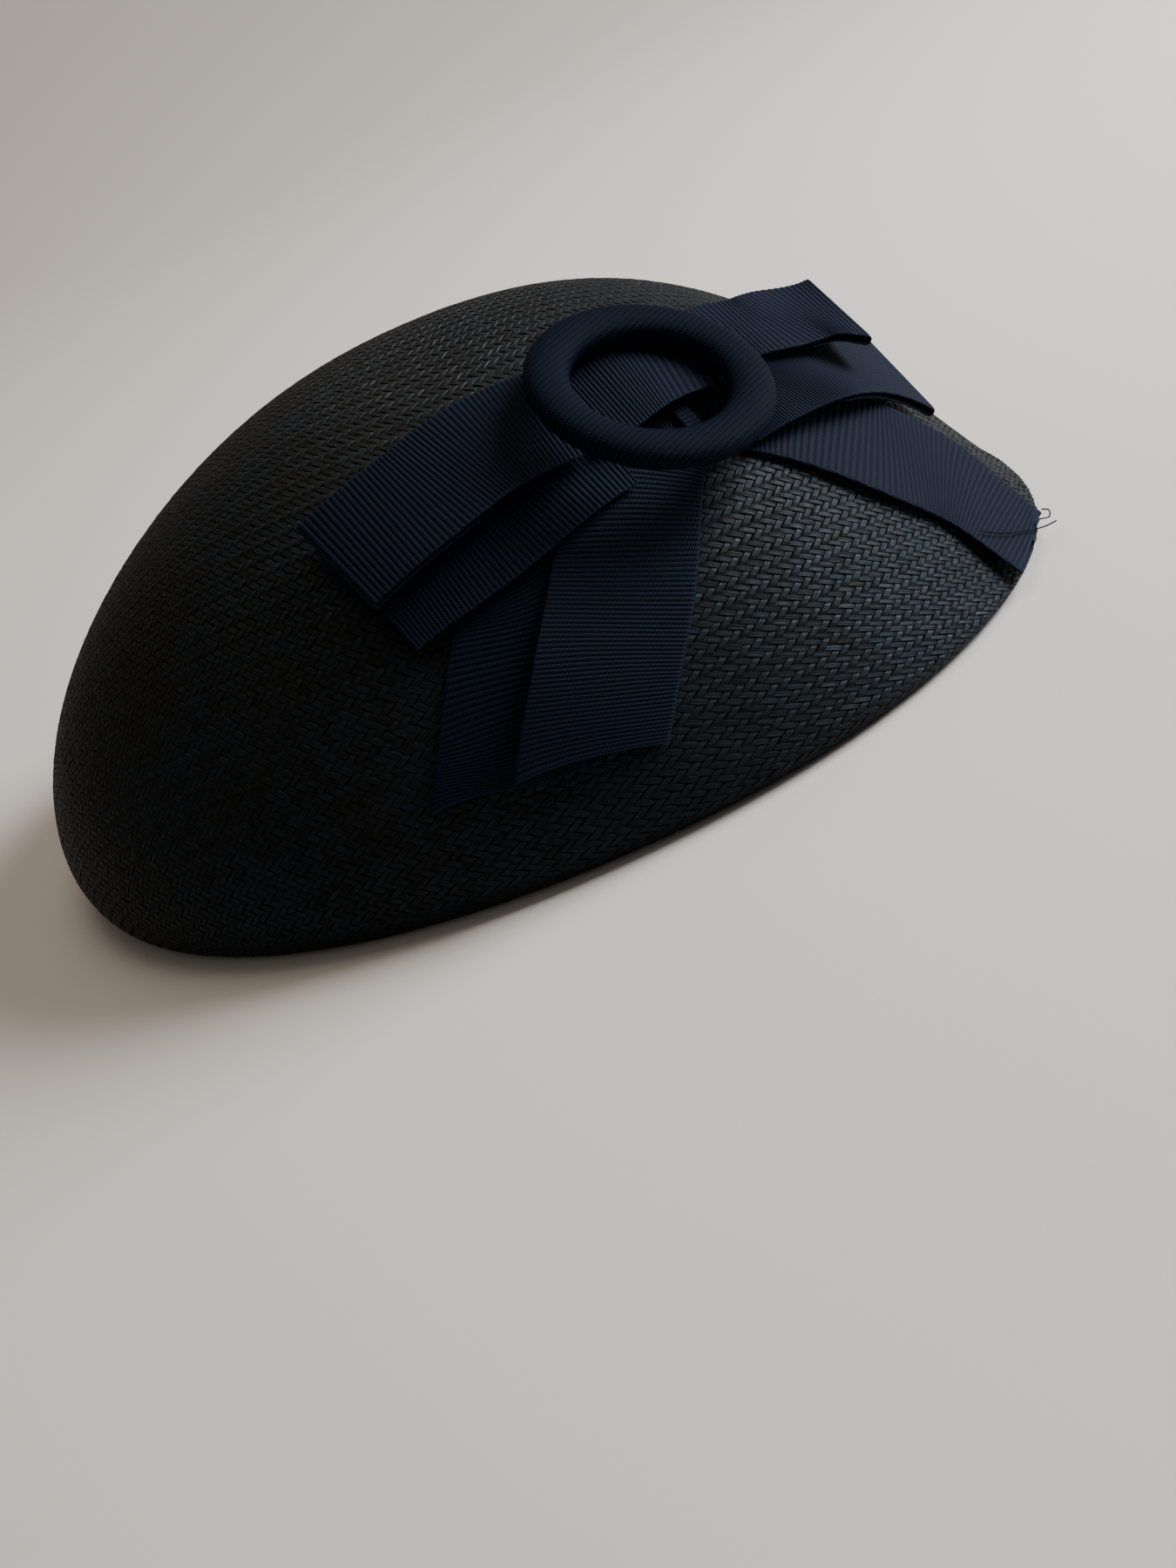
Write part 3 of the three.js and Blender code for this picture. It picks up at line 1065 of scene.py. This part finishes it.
@dataclass
class RingBuckle:
    """Flat ring of soft rounded section, covered with corded cloth."""

    form: CrownForm
    x: float = 43.3
    y: float = -61.5
    lift: float = 10.0
    middle: float = 23.2
    band: float = 10.5
    thick: float = 6.6
    grain: float = math.radians(44)  # direction of the cover's ribs on the ring's own plane
    lean: tuple[float, float] = (0.03, 0.16)  # its axis leans from the crown's normal
    segments: int = 240
    steps: int = 64  # points round the section

    def piece(self) -> Piece:
        """The ring as a closed padded band.

        Returns:
            A ring with radius middle + band/2 soft(cos t) and height thick/2 soft(sin t), where
            soft is a power of 0.85 that keeps its sign. The cover's map is the flat cloth that
            is drawn down over it: radius middle plus the length from the top of the section.
        """
        t = np.arange(self.steps) / self.steps * 2 * math.pi
        out_of_middle = 0.5 * self.band * self.soft(np.cos(t))
        height = 0.5 * self.thick * self.soft(np.sin(t))
        profile = np.stack([out_of_middle, height], -1)
        angle = np.arange(self.segments) / self.segments * 2 * math.pi
        edge = np.linalg.norm(np.roll(profile, -1, axis=0) - profile, axis=1)
        length = np.concatenate([[0.0], np.cumsum(edge)[:-1]])
        top = length[self.steps // 4]
        from_top = top - length
        from_top = np.where(from_top < -0.5 * edge.sum(), from_top + edge.sum(), from_top)
        out = self.middle + profile[:, 0][None, :] + 0 * angle[:, None]
        east = np.cos(angle)[:, None] * out
        north = np.sin(angle)[:, None] * out
        flat = np.stack([east, north, 0 * out + height], -1)
        normal = self.form.normal(self.x, self.y)
        axis = unit(normal + np.array([*self.lean, 0.0]))
        turn = Vector((0, 0, 1)).rotation_difference(Vector(axis))
        seat = self.form.point(self.x, self.y) + self.lift * normal
        points = flat @ np.array(turn.to_matrix()).T + seat
        quads = grid_quads(self.segments, self.steps, closed=True)
        first = np.arange(self.steps)
        last = (self.segments - 1) * self.steps + first
        seam = np.stack([last, np.roll(last, -1), np.roll(first, -1), first], axis=-1)
        quads = np.concatenate([quads, seam])[:, ::-1]
        far = self.middle + from_top[None, :]
        heading = angle[:, None] - self.grain
        cloth = np.stack([far * np.cos(heading), far * np.sin(heading)], -1)
        return Piece(
            "ring_cover",
            points.reshape(-1, 3),
            quads,
            Slot.RING,
            {"Cloth": cloth.reshape(-1, 2)},
        )

    @staticmethod
    def soft(value: Array) -> Array:
        """A power of 0.85 that keeps its sign."""
        return np.sign(value) * np.abs(value) ** 0.85

    def build(self, material: bpy.types.Material) -> bpy.types.Object:
        """Makes the ring in place of the CAD one."""
        return self.piece().build(material, ("ring_buckle",))


@dataclass(frozen=True)
class LooseThread:
    """A thread that has come out of a ribbon's end."""

    name: str
    knots: tuple[tuple[float, float, float], ...]
    radius: float = 0.19
    steps: int = 40
    sides: int = 6

    def piece(self) -> Piece:
        """The thread as a tube, with its ends left open.

        Returns:
            Rings of points at the curve plus radius times (cos a, sin a) along two directions
            that stand square to it.
        """
        share = np.linspace(0, 1, self.steps)
        middle = through(np.array(self.knots), share)
        along = unit(np.gradient(middle, axis=0))
        out = unit(np.cross(along, (0.3, 0.2, 1.0)))
        up = np.cross(along, out)
        a = np.arange(self.sides) / self.sides * 2 * math.pi
        ring = np.cos(a)[None, :, None] * out[:, None] + np.sin(a)[None, :, None] * up[:, None]
        points = middle[:, None] + self.radius * ring
        flat = np.stack(np.broadcast_arrays(a[None, :] * self.radius, 40 * share[:, None]), -1)
        return Piece(
            self.name,
            points.reshape(-1, 3),
            grid_quads(self.steps, self.sides, closed=True),
            Slot.RIBBON,
            {"Cloth": flat.reshape(-1, 2)},
            {"rib": np.full(points.size // 3, 0.5), "worn": np.zeros(points.size // 3)},
        )


THREADS = (
    LooseThread(
        "loose_thread",
        ((106, -68.5, 16.5), (112, -64.5, 12), (119, -58, 7.5), (123.5, -55, 5.5), (127, -53.5, 5)),
    ),
    LooseThread(
        "thread_loop",
        ((127.5, -41, 4), (128, -45.5, 5), (127, -49, 5), (126, -49.5, 5), (124.5, -47, 4.5)),
    ),
)


# ---------------------------------------------------------------- stage


@dataclass
class Stage:
    """Floor, soft light and camera."""

    eye: tuple[float, float, float] = (0.5, -565.9, 227.2)
    yaw: float = -0.303
    pitch: float = -24.75
    roll: float = 23.854
    lens: float = 53.0
    floor: float = 4.0  # half the floor's width, in metres
    bend: float = 0.9  # where the backdrop starts to rise, and 1.5 m on it stands upright

    def camera(self) -> None:
        """A camera that looks down on the hat from its right side, leaning to one side."""
        data = bpy.data.cameras.new("camera")
        data.lens = self.lens
        data.sensor_width = 36.0
        data.clip_start = 0.01
        yaw, pitch, roll = (math.radians(v) for v in (self.yaw, self.pitch, self.roll))
        ahead = Vector(
            (math.sin(yaw) * math.cos(pitch), math.cos(yaw) * math.cos(pitch), math.sin(pitch))
        )
        right = ahead.cross(Vector((0, 0, 1))).normalized()
        up = right.cross(ahead)
        leaning_right = math.cos(roll) * right - math.sin(roll) * up
        leaning_up = math.sin(roll) * right + math.cos(roll) * up
        turn = Matrix((leaning_right, leaning_up, -ahead)).transposed().to_4x4()
        camera = bpy.data.objects.new("camera", data)
        camera.matrix_world = Matrix.Translation(Vector(self.eye) * METRE) @ turn
        bpy.context.scene.collection.objects.link(camera)
        bpy.context.scene.camera = camera

    def ground(self) -> None:
        """A wide pale floor that rises at the back in a quarter of a round."""
        turn = np.linspace(0, 0.5 * math.pi, 25)
        y = np.concatenate([[-self.floor], self.bend + 1.5 * np.sin(turn), [self.bend + 1.5]])
        z = np.concatenate([[0.0], 1.5 * (1 - np.cos(turn)), [self.floor]])
        x = np.array([-self.floor, self.floor])
        points = np.stack(np.broadcast_arrays(x[None, :], y[:, None], z[:, None]), -1).reshape(-1, 3)
        mesh = bpy.data.meshes.new("floor")
        mesh.from_pydata(points.tolist(), [], grid_quads(len(y), 2).tolist())
        mesh.polygons.foreach_set("use_smooth", np.ones(len(y) - 1, dtype=bool))
        graph = Graph("floor")
        graph.set(Base_Color=(0.72, 0.64, 0.57, 1.0), Roughness=0.85, Specular_IOR_Level=0.2)
        mesh.materials.append(graph.material)
        floor = bpy.data.objects.new("floor", mesh)
        bpy.context.scene.collection.objects.link(floor)

    def light(self, name: str, place: Vector, size: float, power: float, tint: Colour) -> None:
        """A square area light that faces the hat.

        Args:
            name: The light's name.
            place: Where it stands, in metres.
            size: Its side, in metres.
            power: Its strength, in watts.
            tint: Its colour.
        """
        data = bpy.data.lights.new(name, "AREA")
        data.shape = "SQUARE"
        data.size = size
        data.energy = power
        data.color = tint[:3]
        lamp = bpy.data.objects.new(name, data)
        lamp.location = place
        lamp.rotation_euler = (place - Vector((0, 0, 0.05))).to_track_quat("Z", "Y").to_euler()
        bpy.context.scene.collection.objects.link(lamp)

    def lights(self) -> None:
        """A window light from the rear right, a soft top light and a pale surround."""
        self.light("window", Vector((1.15, 0.15, 0.75)), 0.7, 43.0, (0.86, 0.93, 1.0, 1.0))
        self.light("ceiling", Vector((0.1, 0.4, 1.5)), 1.0, 6.5, (1.0, 0.92, 0.80, 1.0))
        world = bpy.data.worlds.new("room")
        world.use_nodes = True
        background = world.node_tree.nodes["Background"]
        background.inputs["Color"].default_value = (0.80, 0.77, 0.72, 1.0)
        background.inputs["Strength"].default_value = 0.225
        bpy.context.scene.world = world

    def build(self) -> None:
        """Sets the whole stage."""
        self.camera()
        self.ground()
        self.lights()


NAVY = ClothFinish("grosgrain", dark=(0.0003, 0.0005, 0.0009, 1.0), pale=(0.0086, 0.0132, 0.028, 1.0))
NAVY_RING = ClothFinish(
    "faille", dark=(0.0003, 0.0005, 0.0011, 1.0), pale=(0.0034, 0.0068, 0.0175, 1.0), pitch=1.3, sheen=0.03
)


def main() -> None:
    """Builds the hat and its stage."""
    logging.basicConfig(level=logging.INFO, format="%(name)s: %(message)s")
    Stage().build()
    form = CrownForm.from_frame()
    Crown(form).build()
    navy = NAVY.material()
    for ribbon in RIBBONS:
        Cloth(form, ribbon).build(navy)
    for thread in THREADS:
        thread.piece().build(navy)
    RingBuckle(form).build(NAVY_RING.material())


def corners(box: Any) -> list[list[float]]:
    """The two corners of a box as plain lists."""
    return [[float(value) for value in corner] for corner in box]


if __name__ == "__main__":
    main()
